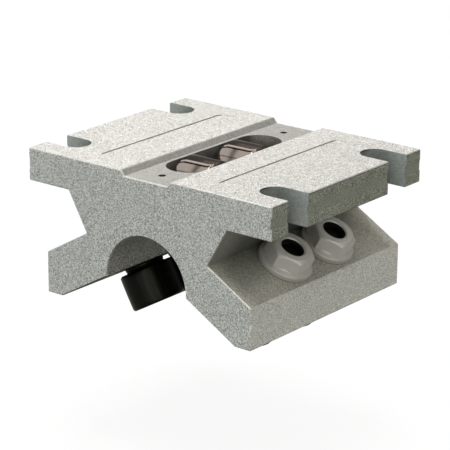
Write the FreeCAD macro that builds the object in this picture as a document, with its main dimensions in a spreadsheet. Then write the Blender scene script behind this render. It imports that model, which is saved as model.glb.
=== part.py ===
import FreeCAD, Part
import math
import os

import Sketcher

# A linear pillow block bearing of the open kind: an X-shaped aluminium housing that
# carries six rollers in three rows, 120 degrees apart, round one shaft.
# The shaft's axis is the Y axis at the origin, the origin is at mid-length, and +Z
# points at the mounting face on top. All sizes are in millimetres and degrees.

# Driving sizes: cell alias, value, meaning
DRIVING_SIZES = [
    ("block_width", 101.6, "width across the two flanges"),
    ("block_length", 81.8, "length along the shaft"),
    ("centre_height", 37.35, "shaft axis to mounting face"),
    ("shaft_diameter", 31.75, "shaft that the rollers run on"),
    ("arch_gap", 0.79, "air between shaft and arch, all round"),
    ("flange_thickness", 11.35, "thickness of the mounting flanges"),
    ("wing_angle", 30.0, "fall of the wings, and lean of the stud axes"),
    ("wing_thickness", 15.6, "thickness of a wing across its faces"),
    ("wing_half_width", 43.2, "mid-plane to the outer side of a wing"),
    ("wing_foot_drop", 11.9, "shaft axis to the lowest flat of a wing"),
    ("waist_offset", 15.9, "shaft axis to waist face, across the stud axis"),
    ("edge_break", 0.3, "chamfer on the outer edges of the housing"),
    ("channel_depth", 1.82, "depth of the long channel in the top"),
    ("channel_half_width", 10.43, "half width of the channel at its mouth"),
    ("channel_wall_run", 1.45, "how far a channel wall leans inwards"),
    ("pocket_half_width", 7.82, "half width of the window over the top rollers"),
    ("pocket_half_length", 26.3, "half length of the window over the top rollers"),
    ("slot_width", 10.36, "width of the four open bolt slots"),
    ("slot_bolt_reach", 42.0, "mid-plane to the round end's centre of a bolt slot"),
    ("slot_pitch", 54.3, "distance between the bolt slots of one side"),
    ("score_width", 5.2, "width of the shallow long recess on each flange"),
    ("score_reach", 24.84, "mid-plane to the middle of that recess"),
    ("score_end_gap", 8.4, "end face to the tip of that recess"),
    ("score_depth", 0.4, "depth of that recess"),
    ("side_groove_top", 3.75, "mounting face to the groove in a flange's side"),
    ("side_groove_width", 3.65, "height of the groove in a flange's side"),
    ("side_groove_depth", 0.4, "depth of the groove in a flange's side"),
    ("seal_hole_width", 2.54, "diameter of the two small tapped holes"),
    ("seal_hole_depth", 8.0, "depth of the two small tapped holes"),
    ("seal_hole_inset", 8.45, "end face to the centre of a small hole"),
    ("roller_pitch", 22.8, "distance between the two rollers of a row"),
    ("side_roller_diameter", 19.05, "crown diameter of the four lower rollers"),
    ("side_roller_width", 12.7, "width of the four lower rollers"),
    ("top_roller_diameter", 20.6, "crown diameter of the two top rollers"),
    ("top_roller_width", 13.2, "width of the two top rollers"),
    ("roller_edge", 0.6, "chamfer at the ends of a roller's face"),
    ("pin_diameter", 9.525, "diameter of studs and axles"),
    ("needle_diameter", 2.38, "diameter of the needles between pin and roller"),
    ("needle_play", 0.03, "air between the needles and either race"),
    ("bore_play", 0.03, "air between a stud and its hole in the wing"),
    ("head_recess", 0.3, "how far a stud's head lies inside the roller"),
    ("socket_flats", 4.76, "hexagon socket in a stud's head, across flats"),
    ("socket_depth", 4.5, "depth of that socket"),
    ("end_plate_standoff", 1.69, "a lower roller's inner end to the face of its wing"),
    ("stud_reach", 22.2, "roller's inner end to the tip of its stud"),
    ("nut_flats", 14.2, "flange nut across its flats"),
    ("nut_height", 7.1, "height of a flange nut"),
    ("nut_turn", 34.4, "where the nuts came to rest when tightened"),
    ("nut_flange_diameter", 18.8, "diameter of the flange of a nut"),
    ("nut_flange_height", 1.9, "height of that flange"),
    ("nut_play", 0.02, "air between a stud and its nut"),
    ("axle_length", 27.0, "length of the axle of a top roller"),
    ("axle_seat_play", 0.01, "air round the axle in its seat"),
    ("axle_end_play", 0.15, "air at either end of the axle in its seat"),
    ("washer_play", 0.06, "air beside the washers of a top roller"),
    ("cut_margin", 1.0, "how far a cut runs past the face it leaves"),
]

# Sizes that follow from the driving ones: cell alias and formula
DERIVED_SIZES = [
    ("half_width", "=block_width / 2"),
    ("half_length", "=block_length / 2"),
    ("half_pitch", "=roller_pitch / 2"),
    ("arch_radius", "=shaft_diameter / 2 + arch_gap"),
    ("contact_reach", "=shaft_diameter / 2 + side_roller_diameter / 2"),
    ("wing_sine", "=sin(wing_angle)"),
    ("wing_cosine", "=cos(wing_angle)"),
    ("wing_low_offset", "=side_roller_width / 2 + end_plate_standoff"),
    ("wing_high_offset", "=wing_low_offset + wing_thickness"),
    ("channel_floor", "=centre_height - channel_depth"),
    ("channel_floor_half", "=channel_half_width - channel_wall_run"),
    ("groove_high", "=centre_height - side_groove_top"),
    ("groove_low", "=groove_high - side_groove_width"),
    ("groove_face", "=half_width - side_groove_depth"),
    ("flange_under", "=centre_height - flange_thickness"),
    ("waist_foot_x", "=wing_cosine * waist_offset + wing_sine * wing_high_offset"),
    ("waist_foot_z", "=wing_cosine * wing_high_offset - wing_sine * waist_offset"),
    ("waist_top_x", "=waist_foot_x + (flange_under - waist_foot_z) * wing_sine / wing_cosine"),
    ("wing_tip_z", "=(wing_high_offset - wing_sine * wing_half_width) / wing_cosine"),
    ("wing_heel_x", "=(wing_low_offset + wing_cosine * wing_foot_drop) / wing_sine"),
    ("arch_foot_z", "=(wing_low_offset - wing_sine * arch_radius) / wing_cosine"),
    ("slot_half_width", "=slot_width / 2"),
    ("slot_far_reach", "=half_width + slot_width"),
    ("slot_half_pitch", "=slot_pitch / 2"),
    ("score_half_width", "=score_width / 2"),
    ("score_half_run", "=half_length - score_end_gap - score_half_width"),
    ("pocket_half_run", "=pocket_half_length - pocket_half_width"),
    ("seal_hole_radius", "=seal_hole_width / 2"),
    ("seal_hole_place", "=half_length - seal_hole_inset"),
    ("pin_radius", "=pin_diameter / 2"),
    ("stud_bore_radius", "=pin_radius + bore_play"),
    ("seat_radius", "=pin_radius + axle_seat_play"),
    ("seat_half_length", "=axle_length / 2 + axle_end_play"),
    ("seat_near", "=half_pitch - seat_radius"),
    ("seat_far", "=half_pitch + seat_radius"),
    ("axle_height", "=shaft_diameter / 2 + top_roller_diameter / 2"),
    ("race_radius", "=pin_radius + needle_play + needle_diameter"),
    ("roller_bore_radius", "=race_radius + needle_play"),
    ("side_half_width", "=side_roller_width / 2"),
    ("top_half_width", "=top_roller_width / 2"),
    ("head_face", "=side_half_width - head_recess"),
    ("stud_tip", "=side_half_width + stud_reach"),
    ("nut_bore_radius", "=pin_radius + nut_play"),
    ("side_outer_radius", "=side_roller_diameter / 2"),
    ("side_face_end", "=side_half_width - roller_edge"),
    ("side_end_radius", "=side_outer_radius - roller_edge"),
    ("top_outer_radius", "=top_roller_diameter / 2"),
    ("top_face_end", "=top_half_width - roller_edge"),
    ("top_end_radius", "=top_outer_radius - roller_edge"),
    ("axle_half_length", "=axle_length / 2"),
    ("washer_reach", "=pocket_half_width - washer_play"),
]

PARTS_FOLDER = "parts"
HEXAGON_SIDES = 6
SAME_LENGTH = 0.001
SAME_PLACE = 0.01

doc = FreeCAD.newDocument("PillowBlock")
sheet = doc.addObject("Spreadsheet::Sheet", "Sizes")


def fill_sheet():
    """Write every size into the sheet, its meaning beside it, and name its cell."""
    rows = [(alias, str(value), meaning) for alias, value, meaning in DRIVING_SIZES]
    rows += [(alias, formula, "follows from the sizes above") for alias, formula in DERIVED_SIZES]
    for number, (alias, content, meaning) in enumerate(rows, start=1):
        sheet.set(f"A{number}", meaning)
        sheet.set(f"B{number}", content)
        sheet.setAlias(f"B{number}", alias)
    doc.recompute()


def size(alias):
    """The value of a named cell."""
    return float(sheet.get(alias))


def signed(text):
    """A coordinate written as an alias with an optional minus: its value and formula."""
    if text.startswith("-"):
        return -size(text[1:]), f"-Sizes.{text[1:]}"
    return size(text), f"Sizes.{text}"


def plane_of(body, role):
    """One of the body's own origin planes."""
    return next(item for item in body.Origin.OriginFeatures if item.Role == role)


def new_sketch(body, name, role, height=None, tilt=0.0):
    """A sketch on an origin plane, raised by a formula or tilted about Y."""
    sketch = body.newObject("Sketcher::SketchObject", name)
    sketch.AttachmentSupport = [(plane_of(body, role), "")]
    sketch.MapMode = "FlatFace"
    turn = FreeCAD.Rotation(FreeCAD.Vector(0, 1, 0), tilt)
    sketch.AttachmentOffset = FreeCAD.Placement(FreeCAD.Vector(), turn)
    if height:
        sketch.setExpression("AttachmentOffset.Base.z", height)
    return sketch


def bind(sketch, kind, places, value, formula):
    """Add one dimension to a sketch and tie it to the sheet."""
    index = sketch.addConstraint(Sketcher.Constraint(kind, *places, value))
    sketch.setExpression(f"Constraints[{index}]", formula)


def pin_point(sketch, edge, end, x_text, y_text):
    """Hold one end of an edge at a named place, where 0 means on the axis."""
    for kind, axis, text in (("DistanceX", -2, x_text), ("DistanceY", -1, y_text)):
        if text == "0":
            sketch.addConstraint(Sketcher.Constraint("PointOnObject", edge, end, axis))
        else:
            value, formula = signed(text)
            bind(sketch, kind, (-1, 1, edge, end), value, formula)


def place_of(corner):
    """The point that a corner's two texts name."""
    return FreeCAD.Vector(*(0.0 if text == "0" else signed(text)[0] for text in corner), 0)


def arc_between(start, end, radius, centre_on_left):
    """The short arc from start to end with its centre on the stated side."""
    chord = end - start
    across = FreeCAD.Vector(-chord.y, chord.x, 0).normalize()
    away = math.sqrt(max(radius ** 2 - (chord.Length / 2) ** 2, 0.0))
    centre = (start + end) * 0.5 + across * (away if centre_on_left else -away)
    circle = Part.Circle(centre, FreeCAD.Vector(0, 0, 1), radius)
    first, last = (start, end) if centre_on_left else (end, start)
    angles = [math.atan2(point.y - centre.y, point.x - centre.x) for point in (first, last)]
    return Part.ArcOfCircle(circle, *angles)


def draw_outline(sketch, corners, arcs=None):
    """A closed outline. arcs maps an edge's number to its radius and its centre's side."""
    arcs = arcs or {}
    ends = []
    for number, corner in enumerate(corners):
        start, end = place_of(corner), place_of(corners[(number + 1) % len(corners)])
        if number in arcs:
            radius_alias, centre_on_left = arcs[number]
            arc = arc_between(start, end, size(radius_alias), centre_on_left)
            edge = sketch.addGeometry(arc, False)
            ends.append((edge, 1, 2) if centre_on_left else (edge, 2, 1))
        else:
            edge = sketch.addGeometry(Part.LineSegment(start, end), False)
            ends.append((edge, 1, 2))
    for number, (edge, first, last) in enumerate(ends):
        after = ends[(number + 1) % len(ends)]
        sketch.addConstraint(Sketcher.Constraint("Coincident", edge, last, after[0], after[1]))
        pin_point(sketch, edge, first, *corners[number])
    for number, (radius_alias, _) in arcs.items():
        bind(sketch, "Radius", (ends[number][0],), size(radius_alias), f"Sizes.{radius_alias}")


def draw_circle(sketch, x_text, y_text, radius_alias):
    """A circle round a named place."""
    centre = place_of((x_text, y_text))
    circle = Part.Circle(centre, FreeCAD.Vector(0, 0, 1), size(radius_alias))
    edge = sketch.addGeometry(circle, False)
    pin_point(sketch, edge, 3, x_text, y_text)
    bind(sketch, "Radius", (edge,), size(radius_alias), f"Sizes.{radius_alias}")


def draw_obround(sketch, first, last, radius_alias, along_y):
    """A slot shape: two half circles round the two centres, joined by two lines."""
    start, end, radius = place_of(first), place_of(last), size(radius_alias)
    normal = FreeCAD.Vector(0, 0, 1)
    side = FreeCAD.Vector(radius, 0, 0) if along_y else FreeCAD.Vector(0, -radius, 0)
    turn = math.pi if along_y else math.pi / 2
    low = Part.ArcOfCircle(Part.Circle(start, normal, radius), turn, turn + math.pi)
    high = Part.ArcOfCircle(Part.Circle(end, normal, radius), turn - math.pi, turn)
    edges = [low, Part.LineSegment(start + side, end + side), high,
             Part.LineSegment(end - side, start - side)]
    numbers = [sketch.addGeometry(edge, False) for edge in edges]
    for number, edge in enumerate(numbers):
        after = numbers[(number + 1) % len(numbers)]
        sketch.addConstraint(Sketcher.Constraint("Tangent", edge, 2, after, 1))
    sketch.addConstraint(Sketcher.Constraint("Equal", numbers[0], numbers[2]))
    pin_point(sketch, numbers[0], 3, *first)
    pin_point(sketch, numbers[2], 3, *last)
    bind(sketch, "Radius", (numbers[0],), radius, f"Sizes.{radius_alias}")


def new_body(name):
    """An empty body with a label of its own."""
    body = doc.addObject("PartDesign::Body", name)
    body.Label = name
    return body


def cut_pocket(body, sketch, name, depth=None, upwards=False):
    """Cut a sketch into the body, to a depth or right through, and check that it cut."""
    volume_before = body.Shape.Volume
    pocket = body.newObject("PartDesign::Pocket", name)
    pocket.Profile = sketch
    pocket.Reversed = upwards
    if depth:
        pocket.setExpression("Length", depth)
    else:
        pocket.Type = "ThroughAll"
    doc.recompute()
    if body.Shape.Volume >= volume_before:
        raise ValueError(f"{name} removes nothing")
    return pocket


def mirror_feature(body, feature, name, role):
    """Repeat a feature on the other side of an origin plane."""
    mirrored = body.newObject("PartDesign::Mirrored", name)
    mirrored.Originals = [feature]
    mirrored.MirrorPlane = (plane_of(body, role), [""])
    body.Tip = mirrored
    doc.recompute()
    return mirrored


def outer_edges(shape):
    """Edges of the plain block to break: its end faces' outlines and its long corners."""
    half_length = size("half_length")
    long_corners = [
        (size("channel_half_width"), size("centre_height")),
        (size("half_width"), size("centre_height")),
        (size("half_width"), size("flange_under")),
        (size("wing_half_width"), size("wing_tip_z")),
        (size("wing_half_width"), -size("wing_foot_drop")),
        (size("wing_heel_x"), -size("wing_foot_drop")),
    ]
    names = []
    for number, edge in enumerate(shape.Edges, start=1):
        box = edge.BoundBox
        on_end_face = box.YLength < SAME_LENGTH and abs(abs(box.YMin) - half_length) < SAME_LENGTH
        at_corner = any(
            abs(abs(box.Center.x) - x) < SAME_PLACE and abs(box.Center.z - z) < SAME_PLACE
            for x, z in long_corners)
        if on_end_face or (at_corner and box.YLength > half_length):
            names.append(f"Edge{number}")
    return names


def build_housing():
    """The X-shaped block: flanges above, wings below, an open arch for the shaft."""
    body = new_body("housing")
    profile = new_sketch(body, "HousingProfile", "XZ_Plane")
    corners = [
        ("0", "channel_floor"), ("0", "arch_radius"), ("arch_radius", "0"),
        ("arch_radius", "arch_foot_z"), ("wing_heel_x", "-wing_foot_drop"),
        ("wing_half_width", "-wing_foot_drop"), ("wing_half_width", "wing_tip_z"),
        ("waist_foot_x", "waist_foot_z"), ("waist_top_x", "flange_under"),
        ("half_width", "flange_under"), ("half_width", "centre_height"),
        ("channel_half_width", "centre_height"), ("channel_floor_half", "channel_floor"),
    ]
    draw_outline(profile, corners, {1: ("arch_radius", False)})
    doc.recompute()
    pad = body.newObject("PartDesign::Pad", "HalfBlock")
    pad.Profile = profile
    pad.SideType = "Symmetric"
    pad.setExpression("Length", "Sizes.block_length")
    doc.recompute()
    block = mirror_feature(body, pad, "WholeBlock", "YZ_Plane")
    chamfer = body.newObject("PartDesign::Chamfer", "EdgeBreaks")
    chamfer.Base = (block, outer_edges(block.Shape))
    chamfer.setExpression("Size", "Sizes.edge_break")
    body.Tip = chamfer
    doc.recompute()

    window = new_sketch(body, "RollerWindow", "XY_Plane")
    draw_obround(window, ("0", "-pocket_half_run"), ("0", "pocket_half_run"),
                 "pocket_half_width", True)
    cut_pocket(body, window, "RollerWindowCut", upwards=True)

    seats = new_sketch(body, "AxleSeat", "YZ_Plane")
    draw_outline(seats, [("seat_near", "0"), ("seat_far", "0"), ("seat_far", "axle_height"),
                         ("seat_near", "axle_height")], {2: ("seat_radius", True)})
    seat_cut = body.newObject("PartDesign::Pocket", "AxleSeatCut")
    seat_cut.Profile = seats
    seat_cut.SideType = "Symmetric"
    seat_cut.setExpression("Length", "2 * Sizes.seat_half_length")
    doc.recompute()
    mirror_feature(body, seat_cut, "AxleSeats", "XZ_Plane")

    bores = new_sketch(body, "StudBores", "XY_Plane", tilt=size("wing_angle"))
    for place in ("half_pitch", "-half_pitch"):
        draw_circle(bores, "contact_reach", place, "stud_bore_radius")
    bore_cut = cut_pocket(body, bores, "StudBoreCut",
                          "Sizes.wing_high_offset + Sizes.cut_margin", upwards=True)
    mirror_feature(body, bore_cut, "StudBoresBothSides", "YZ_Plane")

    slots = new_sketch(body, "BoltSlots", "XY_Plane", height="Sizes.centre_height")
    for place in ("slot_half_pitch", "-slot_half_pitch"):
        draw_obround(slots, ("slot_bolt_reach", place), ("slot_far_reach", place),
                     "slot_half_width", False)
    slot_cut = cut_pocket(body, slots, "BoltSlotCut",
                          "Sizes.flange_thickness + Sizes.cut_margin")
    mirror_feature(body, slot_cut, "BoltSlotsBothSides", "YZ_Plane")

    scores = new_sketch(body, "FlangeRecess", "XY_Plane", height="Sizes.centre_height")
    draw_obround(scores, ("score_reach", "-score_half_run"), ("score_reach", "score_half_run"),
                 "score_half_width", True)
    score_cut = cut_pocket(body, scores, "FlangeRecessCut", "Sizes.score_depth")
    mirror_feature(body, score_cut, "FlangeRecessBothSides", "YZ_Plane")

    grooves = new_sketch(body, "SideGroove", "XZ_Plane")
    draw_outline(grooves, [("groove_face", "groove_low"), ("slot_far_reach", "groove_low"),
                           ("slot_far_reach", "groove_high"), ("groove_face", "groove_high")])
    groove_cut = body.newObject("PartDesign::Pocket", "SideGrooveCut")
    groove_cut.Profile = grooves
    groove_cut.SideType = "Symmetric"
    groove_cut.setExpression("Length", "2 * Sizes.block_length")
    doc.recompute()
    mirror_feature(body, groove_cut, "SideGroovesBothSides", "YZ_Plane")

    holes = new_sketch(body, "SealHoles", "XY_Plane", height="Sizes.channel_floor")
    for place in ("seal_hole_place", "-seal_hole_place"):
        draw_circle(holes, "0", place, "seal_hole_radius")
    body.Tip = cut_pocket(body, holes, "SealHoleCut", "Sizes.seal_hole_depth")
    return body


def revolve_outline(name, corners, arcs=None):
    """A turned piece: half its section, with radius across and axis upwards, spun about Z."""
    body = new_body(name)
    section = new_sketch(body, f"{name}_section", "XZ_Plane")
    draw_outline(section, corners, arcs)
    doc.recompute()
    turned = body.newObject("PartDesign::Revolution", f"{name}_turned")
    turned.Profile = section
    turned.ReferenceAxis = (section, ["V_Axis"])
    turned.Angle = 360.0
    body.Tip = turned
    doc.recompute()
    return body


def build_roller(name, kind):
    """An outer ring with chamfered ends and a plain bore for its needles."""
    half, end = f"{kind}_half_width", f"{kind}_face_end"
    rim, face = f"{kind}_outer_radius", f"{kind}_end_radius"
    return revolve_outline(name, [
        ("roller_bore_radius", f"-{half}"), (face, f"-{half}"), (rim, f"-{end}"),
        (rim, end), (face, half), ("roller_bore_radius", half)])


def build_stud(name):
    """A stud with its needles and end plate as one sleeve, and a hexagon socket."""
    body = revolve_outline(name, [
        ("0", "-head_face"), ("race_radius", "-head_face"), ("race_radius", "wing_low_offset"),
        ("pin_radius", "wing_low_offset"), ("pin_radius", "stud_tip"), ("0", "stud_tip")])
    socket = new_sketch(body, f"{name}_socket", "XY_Plane", height="-Sizes.head_face")
    circle_radius = size("socket_flats") / math.sqrt(3)
    angles = [2 * math.pi * number / HEXAGON_SIDES for number in range(HEXAGON_SIDES)]
    points = [FreeCAD.Vector(circle_radius * math.cos(angle), circle_radius * math.sin(angle), 0)
              for angle in angles]
    sides = [socket.addGeometry(Part.LineSegment(start, end), False)
             for start, end in zip(points, points[1:] + points[:1])]
    rim = socket.addGeometry(
        Part.Circle(FreeCAD.Vector(), FreeCAD.Vector(0, 0, 1), circle_radius), True)
    socket.addConstraint(Sketcher.Constraint("Coincident", rim, 3, -1, 1))
    for number, side in enumerate(sides):
        after = sides[(number + 1) % HEXAGON_SIDES]
        socket.addConstraint(Sketcher.Constraint("Coincident", side, 2, after, 1))
        socket.addConstraint(Sketcher.Constraint("PointOnObject", side, 1, rim))
        if number:
            socket.addConstraint(Sketcher.Constraint("Equal", sides[0], side))
    socket.addConstraint(Sketcher.Constraint("PointOnObject", sides[0], 1, -1))
    bind(socket, "Radius", (rim,), circle_radius, "Sizes.socket_flats / sqrt(3)")
    doc.recompute()
    body.Tip = cut_pocket(body, socket, f"{name}_socket_cut", "Sizes.socket_depth", upwards=True)
    return body


def bound(kind, name, **formulas):
    """A Part primitive with its sizes tied to the sheet."""
    item = doc.addObject(kind, name)
    for place, formula in formulas.items():
        item.setExpression(place, formula)
    return item


def combine(kind, name, first, second):
    """A boolean of two solids."""
    item = doc.addObject(kind, name)
    item.Base = first
    item.Tool = second
    return item


def build_nut(name):
    """A hexagon nut with a washer flange and a plain bore for its thread."""
    prism = bound("Part::Prism", f"{name}_hexagon", Circumradius="Sizes.nut_flats / sqrt(3)",
                  Height="Sizes.nut_height")
    prism.Polygon = HEXAGON_SIDES
    prism.Placement.Rotation = FreeCAD.Rotation(FreeCAD.Vector(0, 0, 1), size("nut_turn"))
    flange = bound("Part::Cylinder", f"{name}_flange", Radius="Sizes.nut_flange_diameter / 2",
                   Height="Sizes.nut_flange_height")
    bore = bound("Part::Cylinder", f"{name}_bore", Radius="Sizes.nut_bore_radius",
                 Height="Sizes.nut_height")
    blank = combine("Part::Fuse", f"{name}_blank", prism, flange)
    nut = combine("Part::Cut", name, blank, bore)
    doc.recompute()
    return nut


def build_axle(name):
    """The pin of a top roller, with its needles and side washers as one sleeve."""
    return revolve_outline(name, [
        ("0", "-axle_half_length"), ("pin_radius", "-axle_half_length"),
        ("pin_radius", "-washer_reach"), ("race_radius", "-washer_reach"),
        ("race_radius", "washer_reach"), ("pin_radius", "washer_reach"),
        ("pin_radius", "axle_half_length"), ("0", "axle_half_length")])


def side_unit(side, end):
    """One lower roller, its stud and its nut, on their leaning axis."""
    sign = 1 if side == "right" else -1
    along = size("half_pitch") * (1 if end == "back" else -1)
    reach = size("contact_reach")
    turn = FreeCAD.Rotation(FreeCAD.Vector(0, 1, 0), sign * size("wing_angle"))
    middle = FreeCAD.Vector(sign * size("wing_cosine") * reach, along, -size("wing_sine") * reach)
    seat = turn.multVec(FreeCAD.Vector(0, 0, size("wing_high_offset")))
    roller, stud = build_roller(f"roller_{side}_{end}", "side"), build_stud(f"stud_{side}_{end}")
    for piece in (roller, stud):
        piece.Placement = FreeCAD.Placement(middle, turn)
    nut = build_nut(f"nut_{side}_{end}")
    nut.Placement = FreeCAD.Placement(middle + seat, turn)
    return roller, stud, nut


def top_unit(end):
    """One top roller with its axle, across the block."""
    along = size("half_pitch") * (1 if end == "back" else -1)
    turn = FreeCAD.Rotation(FreeCAD.Vector(0, 1, 0), 90)
    middle = FreeCAD.Vector(0, along, size("axle_height"))
    roller, axle = build_roller(f"top_roller_{end}", "top"), build_axle(f"top_axle_{end}")
    for piece in (roller, axle):
        piece.Placement = FreeCAD.Placement(middle, turn)
    return roller, axle


def group_of(name, pieces):
    """Like pieces that move together, kept as separate solids in one part."""
    group = doc.addObject("Part::Compound", name)
    group.Links = pieces
    group.Label = name
    doc.recompute()
    return group


def check_and_write(pieces):
    """Refuse a failed feature or an unsound solid, then write each piece to its file."""
    doc.recompute()
    for item in doc.Objects:
        if "Invalid" in item.State or "Error" in item.State:
            raise ValueError(f"{item.Name} failed: {item.State}")
    os.makedirs(PARTS_FOLDER, exist_ok=True)
    for piece in pieces:
        shape = piece.Shape
        if shape.isNull() or not shape.isValid() or not shape.Solids:
            raise ValueError(f"{piece.Label} has no sound solid")
        shape.exportStep(os.path.join(PARTS_FOLDER, f"{piece.Label}.step"))
        print(f"{piece.Label}: {len(shape.Solids)} solid(s), {shape.Volume:.1f} mm3")


fill_sheet()
side_units = [side_unit(side, end) for side in ("left", "right") for end in ("front", "back")]
top_units = [top_unit(end) for end in ("front", "back")]
all_pieces = [build_housing()]
all_pieces += [roller for roller, stud, nut in side_units]
all_pieces += [roller for roller, axle in top_units]
all_pieces.append(group_of("studs", [stud for roller, stud, nut in side_units]))
all_pieces.append(group_of("nuts", [nut for roller, stud, nut in side_units]))
all_pieces.append(group_of("top_axles", [axle for roller, axle in top_units]))
check_and_write(all_pieces)
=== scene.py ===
# %% [markdown]
# # An open linear pillow block bearing
#
# The object is an aluminium block, shaped like a letter X, that carries six rollers in
# three rows round one shaft. The exact solids come from the CAD model. This script
# dresses them: it remakes the turned parts and the nuts with the rounded edges,
# threads and needles that the plain solids leave out, and it gives every surface a
# metal finish with the marks of its own machining.
#
# Blender counts in metres. Sizes below are written in millimetres and multiplied by MM
# where they are used. The shaft's axis is the Y axis, and +Z points up at the mounting
# face. The CAD model is loaded first. The finished pieces have to stay inside it.

import math

import bpy
from mathutils import Matrix, Vector


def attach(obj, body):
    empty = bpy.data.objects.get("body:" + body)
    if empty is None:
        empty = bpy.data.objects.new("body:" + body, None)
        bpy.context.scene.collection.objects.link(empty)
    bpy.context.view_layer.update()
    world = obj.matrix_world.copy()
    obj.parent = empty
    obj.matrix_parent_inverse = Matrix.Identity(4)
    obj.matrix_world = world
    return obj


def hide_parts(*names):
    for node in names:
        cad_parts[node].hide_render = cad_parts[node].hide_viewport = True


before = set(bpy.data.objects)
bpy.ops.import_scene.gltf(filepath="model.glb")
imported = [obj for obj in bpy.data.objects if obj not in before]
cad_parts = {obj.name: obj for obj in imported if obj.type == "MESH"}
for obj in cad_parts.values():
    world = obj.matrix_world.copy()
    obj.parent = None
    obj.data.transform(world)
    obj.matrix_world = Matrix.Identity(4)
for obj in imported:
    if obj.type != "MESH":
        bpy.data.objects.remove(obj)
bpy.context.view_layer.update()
MM = 0.001
print("nodes:", ", ".join(sorted(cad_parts)))
bpy.context.scene.view_settings.view_transform = "Standard"

# %% [markdown]
# ## Camera
#
# The photograph was taken from a long way off with a long lens. Its corners were
# matched to the block's corners, which gives the camera's place and its three axes.
# The axes are written down as they are, because angles would need rounding.

# %% Place the camera
CAMERA_PLACE = Vector((0.43895, -0.55444, 0.24647))
CAMERA_RIGHT = Vector((0.78279, 0.62225, 0.00681))
CAMERA_UP = Vector((-0.20211, 0.24387, 0.94852))
CAMERA_LENS = 177.37
SENSOR_WIDTH = 36.0

camera_data = bpy.data.cameras.new("photo_camera")
camera_data.lens = CAMERA_LENS
camera_data.sensor_width = SENSOR_WIDTH
camera = bpy.data.objects.new("photo_camera", camera_data)
bpy.context.scene.collection.objects.link(camera)
back = CAMERA_RIGHT.cross(CAMERA_UP)
turn = Matrix((CAMERA_RIGHT, CAMERA_UP, back)).transposed().to_4x4()
camera.matrix_world = Matrix.Translation(CAMERA_PLACE) @ turn
bpy.context.scene.camera = camera
print("camera looks along", [round(-value, 3) for value in back])

# %% [markdown]
# ## Sums with sockets
#
# A metal finish mixes many small signals: noise, ramps, and masks that know where a
# surface lies. Wiring each Math node by hand hides the idea behind it. So a small
# class wraps an output socket, and Python's own signs add the Math nodes. One method
# makes every other kind of node.

# %% Wrap a socket
class Signal:
    """An output socket that can be added, subtracted and scaled like a number."""

    def __init__(self, bench, socket):
        self.bench = bench
        self.socket = socket

    def __add__(self, other):
        return self.bench.math("ADD", self, other)

    def __sub__(self, other):
        return self.bench.math("SUBTRACT", self, other)

    def __rsub__(self, other):
        return self.bench.math("SUBTRACT", other, self)

    def __mul__(self, other):
        return self.bench.math("MULTIPLY", self, other)

    def __abs__(self):
        return self.bench.math("ABSOLUTE", self)

    __radd__ = __add__
    __rmul__ = __mul__


# %% A bench that makes nodes
class Bench:
    """One node tree, and the one way to add a node to it."""

    def __init__(self, tree):
        self.tree = tree
        self.tree.nodes.clear()

    def node(self, kind, settings=None, inputs=None, output=None):
        """Add a node: its settings first, then the values or links of its sockets."""
        made = self.tree.nodes.new(kind)
        for name, value in (settings or {}).items():
            setattr(made, name, value)
        for name, value in (inputs or {}).items():
            socket = made.inputs[name] if isinstance(name, int) else next(
                item for item in made.inputs if item.name == name and item.enabled)
            if isinstance(value, Signal):
                self.tree.links.new(value.socket, socket)
            else:
                socket.default_value = value
        open_outputs = [item for item in made.outputs if item.enabled]
        if not open_outputs:
            return made
        chosen = next(item for item in open_outputs if output in (None, item.name))
        return Signal(self, chosen)

    def math(self, operation, first, second=0.0):
        """One Math node."""
        return self.node("ShaderNodeMath", {"operation": operation}, {0: first, 1: second})

    def step(self, signal, start, end):
        """A soft step: 0 before start and 1 after end. Start may be the larger."""
        return self.node("ShaderNodeMapRange", {"interpolation_type": "SMOOTHSTEP"},
                         {"Value": signal, "From Min": start, "From Max": end})

    def split(self, vector):
        """The three parts of a vector."""
        return [self.node("ShaderNodeSeparateXYZ", None, {"Vector": vector}, axis)
                for axis in "XYZ"]

    def blend(self, factor, first, second):
        """Mix two colours."""
        return self.node("ShaderNodeMix", {"data_type": "RGBA"},
                         {"Factor": factor, "A": first, "B": second})

    def grains(self, place, lengths, turn=(0.0, 0.0, 0.0), detail=2.0):
        """Noise whose grains have the stated lengths, in mm, along three turned axes."""
        scale = [length * MM for length in lengths]
        stretched = self.node("ShaderNodeMapping", {"vector_type": "TEXTURE"},
                              {"Vector": place, "Rotation": turn, "Scale": scale})
        return self.node("ShaderNodeTexNoise", None,
                         {"Vector": stretched, "Scale": 1.0, "Detail": detail}, "Fac")


def new_material(name):
    """A material, its bench, and the place of each of its points in the object."""
    material = bpy.data.materials.new(name)
    material.use_nodes = True
    bench = Bench(material.node_tree)
    place = bench.node("ShaderNodeTexCoord", None, None, "Object")
    return material, bench, place


def metal_surface(bench, varying, steady):
    """Wire a metal shader to the material's output."""
    shader = bench.node("ShaderNodeBsdfPrincipled", None, {**varying, **steady})
    bench.node("ShaderNodeOutputMaterial", None, {"Surface": shader})


print("bench ready")

# %% [markdown]
# ## Studio
#
# The photograph shows the block on pure white with no edge between floor and wall. So
# camera rays see a white world. The light itself is softer: it is bright overhead, a
# little greyer in front and on the right, and dim on the left. That leaves the top
# almost white and the other faces in clear steps below it.

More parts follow.
